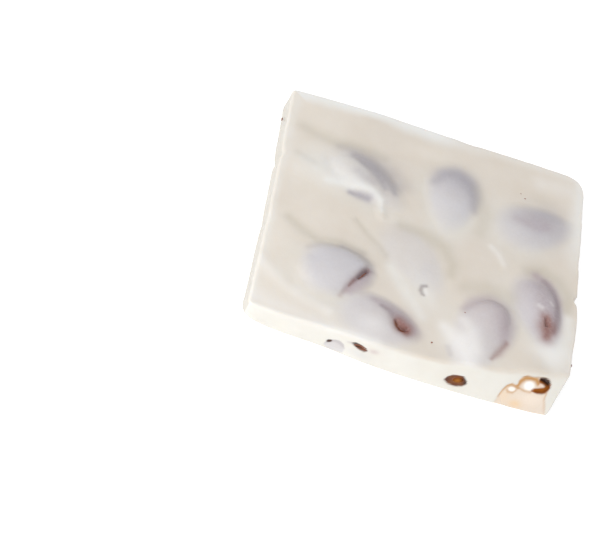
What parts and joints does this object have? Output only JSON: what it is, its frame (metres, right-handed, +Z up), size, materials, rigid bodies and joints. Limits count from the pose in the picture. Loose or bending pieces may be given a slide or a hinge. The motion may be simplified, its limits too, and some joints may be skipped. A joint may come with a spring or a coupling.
{
  "type": "white chocolate almond bark",
  "caption": "Flat cut slab of white chocolate bark with whole almonds under a thin film, some breaking through or cut at the edge.",
  "frame": {"origin": "centre of the slab's plan at the level of its flat underside", "axes": "+X along the long front edge with the cut almonds, +Y to the back, +Z up through the poured top"},
  "size_m": [0.0867, 0.0791, 0.0122],
  "materials": {
    "chocolate": "satin, slightly waxy",
    "almond_skin": "matt, finely wrinkled",
    "almond_flesh": "matt, cut"
  },
  "bodies": {
    "root": {"white_chocolate": "chocolate", "almond_near_left": "almond_skin", "almond_near_middle": "almond_skin", "almond_near_right": "almond_skin", "almond_right_side": "almond_skin", "almond_cut_corner": "almond_flesh", "almond_cut_tip": "almond_flesh"}
  },
  "joints": []
}
